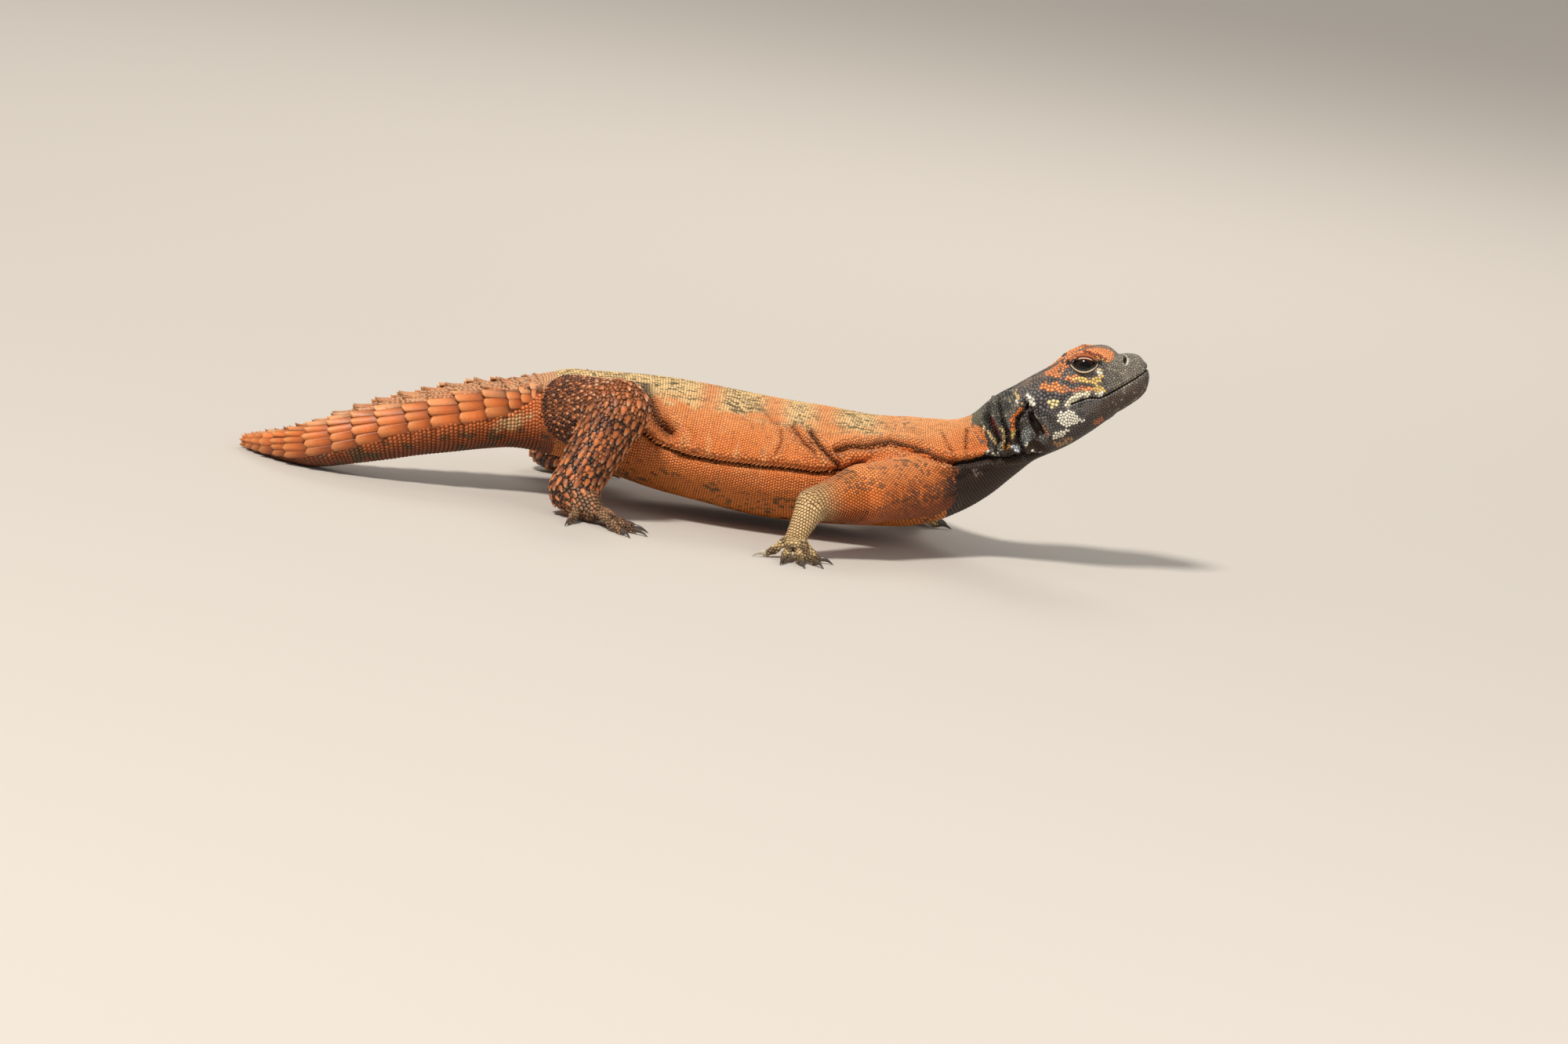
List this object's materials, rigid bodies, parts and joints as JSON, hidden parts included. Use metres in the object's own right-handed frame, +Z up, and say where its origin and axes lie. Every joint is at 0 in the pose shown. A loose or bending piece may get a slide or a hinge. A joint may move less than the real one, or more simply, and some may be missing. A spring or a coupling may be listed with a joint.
{
  "type": "spiny-tailed lizard model (uromastyx)",
  "caption": "Life-size still model of an orange spiny-tailed lizard with a black raised head, standing on four clawed feet with its whorled tail laid on the floor.",
  "frame": {"origin": "on the floor under the middle of the whole animal's box", "axes": "+X towards the snout, +Y towards the animal's left side, +Z up"},
  "size_m": [0.3124, 0.1542, 0.0785],
  "materials": {
    "body_skin": "dry matt scales, vivid orange with pale yellow and olive-black flecks along the back",
    "head_skin": "dry pebbled scales, black-grey with cream, yellow and orange scales",
    "eyes": "wet dark brown eye",
    "claws": "dark horn with paler roots"
  },
  "bodies": {
    "root": {"head": "head_skin", "left_eye": "eyes", "left_foot": "body_skin", "left_forearm": "body_skin", "left_hand": "body_skin", "left_shin": "body_skin", "left_thigh": "body_skin", "left_upper_arm": "body_skin", "neck": "head_skin", "right_eye": "eyes", "right_foot": "body_skin", "right_forearm": "body_skin", "right_hand": "body_skin", "right_shin": "body_skin", "right_thigh": "body_skin", "right_upper_arm": "body_skin", "tail_base": "body_skin", "tail_middle": "body_skin", "tail_tip": "body_skin", "torso": "body_skin"}
  },
  "joints": []
}
